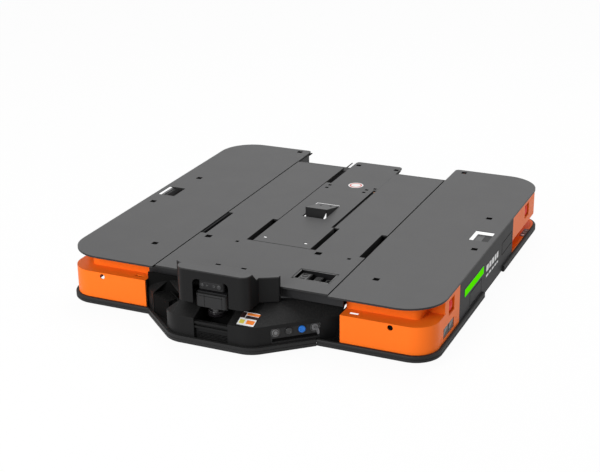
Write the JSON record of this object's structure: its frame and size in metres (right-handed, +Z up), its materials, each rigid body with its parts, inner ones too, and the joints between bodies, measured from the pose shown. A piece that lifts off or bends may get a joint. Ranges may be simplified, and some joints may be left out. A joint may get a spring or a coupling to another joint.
{
  "type": "autonomous mobile robot base",
  "caption": "Low square drive-under transport robot: flat two-plate load deck, rounded corner covers, stop buttons, driven wheels, casters and a nose with a raised sensor hood.",
  "frame": {"origin": "on the floor, at the middle of the whole vehicle's length and width", "axes": "+Z up; -Y forward, the way the nose and its sensors face; +X to the right of someone who stands in front and faces the nose, which is what right means in the node names"},
  "size_m": [1.276, 1.417, 0.266],
  "materials": {
    "deck_grey": "satin powder coat",
    "socket_black": "matte",
    "frame_black": "satin powder coat",
    "cover_orange": "satin powder coat",
    "panel_dark": "satin powder coat",
    "bar_green": "translucent light guide",
    "window_black": "dark optical window",
    "contact_copper": "brushed",
    "bumper_rubber": "matte",
    "nose_black": "satin powder coat",
    "scanner_black": "fine grain",
    "camera_grey": "anodised",
    "strip_black": "satin",
    "button_steel": "brushed",
    "button_black": "gloss",
    "button_blue": "gloss",
    "cup_orange": "satin",
    "stop_red": "semi gloss",
    "bracket_steel": "satin",
    "motor_grey": "cast and blackened",
    "hub_aluminium": "machined",
    "tyre_rubber": "matte",
    "caster_zinc": "zinc plated",
    "caster_tread": "matte",
    "battery_grey": "matte",
    "tray_light": "plain sheet",
    "box_light": "plain sheet"
  },
  "bodies": {
    "chassis": {"battery_pack": "battery_grey", "battery_tray": "tray_light", "bumper_front_left": "bumper_rubber", "bumper_front_right": "bumper_rubber", "bumper_nose": "bumper_rubber", "bumper_rear": "bumper_rubber", "caster_plates": "caster_zinc", "centre_plate": "deck_grey", "charge_contacts": "contact_copper", "control_panel": "strip_black", "control_switches": "socket_black", "controller_box": "box_light", "corner_cover_front_left": "cover_orange", "corner_cover_front_right": "cover_orange", "corner_cover_rear_left": "cover_orange", "corner_cover_rear_right": "cover_orange", "cross_members": "frame_black", "deck_plate_left": "deck_grey", "deck_plate_right": "deck_grey", "depth_camera": "camera_grey", "drive_brackets": "bracket_steel", "frame_rails": "frame_black", "gearmotors": "motor_grey", "hood_cap": "deck_grey", "io_connectors": "socket_black", "io_tray": "socket_black", "nose_base": "nose_black", "nose_grille": "nose_black", "rear_panel": "panel_dark", "scanner_body": "scanner_black", "scanner_dome": "window_black", "sensor_bracket": "frame_black", "sensor_hood": "nose_black", "sensor_windows": "window_black", "side_panel_left": "panel_dark", "side_panel_right": "panel_dark", "spine_cover": "deck_grey", "status_bars": "bar_green", "stop_cups": "cup_orange"},
    "drive_wheel_right": {"drive_hub_right": "hub_aluminium", "drive_tyre_right": "tyre_rubber"},
    "drive_wheel_left": {"drive_hub_left": "hub_aluminium", "drive_tyre_left": "tyre_rubber"},
    "caster_swivel_front_right": {"caster_fork_front_right": "caster_zinc"},
    "caster_roll_front_right": {"caster_wheel_front_right": "caster_tread"},
    "caster_swivel_front_left": {"caster_fork_front_left": "caster_zinc"},
    "caster_roll_front_left": {"caster_wheel_front_left": "caster_tread"},
    "caster_swivel_rear_right": {"caster_fork_rear_right": "caster_zinc"},
    "caster_roll_rear_right": {"caster_wheel_rear_right": "caster_tread"},
    "caster_swivel_rear_left": {"caster_fork_rear_left": "caster_zinc"},
    "caster_roll_rear_left": {"caster_wheel_rear_left": "caster_tread"},
    "stop_front_right": {"stop_button_front_right": "stop_red"},
    "stop_front_left": {"stop_button_front_left": "stop_red"},
    "stop_rear_right": {"stop_button_rear_right": "stop_red"},
    "stop_rear_left": {"stop_button_rear_left": "stop_red"},
    "power_key": {"power_button": "button_steel"},
    "mode_key": {"mode_button": "button_black"},
    "reset_key": {"reset_button": "button_blue"},
    "switch_key": {"key_switch": "button_steel"},
    "flap": {"latch_flap": "deck_grey"}
  },
  "joints": [
    {"name": "drive_wheel_right_spin", "type": "hinge", "parent": "chassis", "child": "drive_wheel_right", "pos_m": [0.52, 0.0695, 0.08], "axis": [1, 0, 0], "continuous": true},
    {"name": "drive_wheel_left_spin", "type": "hinge", "parent": "chassis", "child": "drive_wheel_left", "pos_m": [-0.52, 0.0695, 0.08], "axis": [1, 0, 0], "continuous": true},
    {"name": "caster_front_right_swivel", "type": "hinge", "parent": "chassis", "child": "caster_swivel_front_right", "pos_m": [0.48, -0.3105, 0.139], "axis": [0, 0, 1], "continuous": true},
    {"name": "caster_front_right_roll", "type": "hinge", "parent": "caster_swivel_front_right", "child": "caster_roll_front_right", "pos_m": [0.48, -0.2785, 0.05], "axis": [1, 0, 0], "continuous": true},
    {"name": "caster_front_left_swivel", "type": "hinge", "parent": "chassis", "child": "caster_swivel_front_left", "pos_m": [-0.48, -0.3105, 0.139], "axis": [0, 0, 1], "continuous": true},
    {"name": "caster_front_left_roll", "type": "hinge", "parent": "caster_swivel_front_left", "child": "caster_roll_front_left", "pos_m": [-0.48, -0.2785, 0.05], "axis": [1, 0, 0], "continuous": true},
    {"name": "caster_rear_right_swivel", "type": "hinge", "parent": "chassis", "child": "caster_swivel_rear_right", "pos_m": [0.48, 0.4495, 0.139], "axis": [0, 0, 1], "continuous": true},
    {"name": "caster_rear_right_roll", "type": "hinge", "parent": "caster_swivel_rear_right", "child": "caster_roll_rear_right", "pos_m": [0.48, 0.4815, 0.05], "axis": [1, 0, 0], "continuous": true},
    {"name": "caster_rear_left_swivel", "type": "hinge", "parent": "chassis", "child": "caster_swivel_rear_left", "pos_m": [-0.48, 0.4495, 0.139], "axis": [0, 0, 1], "continuous": true},
    {"name": "caster_rear_left_roll", "type": "hinge", "parent": "caster_swivel_rear_left", "child": "caster_roll_rear_left", "pos_m": [-0.48, 0.4815, 0.05], "axis": [1, 0, 0], "continuous": true},
    {"name": "stop_front_right_push", "type": "slide", "parent": "chassis", "child": "stop_front_right", "axis": [-1, 0, 0], "range_m": [0, 0.004], "stiffness_N_per_m": 800, "springref_m": -0.003},
    {"name": "stop_front_left_push", "type": "slide", "parent": "chassis", "child": "stop_front_left", "axis": [1, 0, 0], "range_m": [0, 0.004], "stiffness_N_per_m": 800, "springref_m": -0.003},
    {"name": "stop_rear_right_push", "type": "slide", "parent": "chassis", "child": "stop_rear_right", "axis": [-1, 0, 0], "range_m": [0, 0.004], "stiffness_N_per_m": 800, "springref_m": -0.003},
    {"name": "stop_rear_left_push", "type": "slide", "parent": "chassis", "child": "stop_rear_left", "axis": [1, 0, 0], "range_m": [0, 0.004], "stiffness_N_per_m": 800, "springref_m": -0.003},
    {"name": "power_push", "type": "slide", "parent": "chassis", "child": "power_key", "axis": [-0.6628, 0.7488, 0], "range_m": [0, 0.003], "stiffness_N_per_m": 600, "springref_m": -0.002},
    {"name": "mode_push", "type": "slide", "parent": "chassis", "child": "mode_key", "axis": [-0.6628, 0.7488, 0], "range_m": [0, 0.003], "stiffness_N_per_m": 600, "springref_m": -0.002},
    {"name": "reset_push", "type": "slide", "parent": "chassis", "child": "reset_key", "axis": [-0.6628, 0.7488, 0], "range_m": [0, 0.003], "stiffness_N_per_m": 600, "springref_m": -0.002},
    {"name": "key_turn", "type": "hinge", "parent": "chassis", "child": "switch_key", "pos_m": [0.2575, -0.56263, 0.087], "axis": [-0.6628, 0.7488, 0], "range_deg": [0, 90]},
    {"name": "flap_tilt", "type": "hinge", "parent": "chassis", "child": "flap", "pos_m": [0, 0.1525, 0.186], "axis": [1, 0, 0], "range_deg": [0, 12], "stiffness_Nm_per_rad": 2, "springref_deg": -28.65}
  ]
}
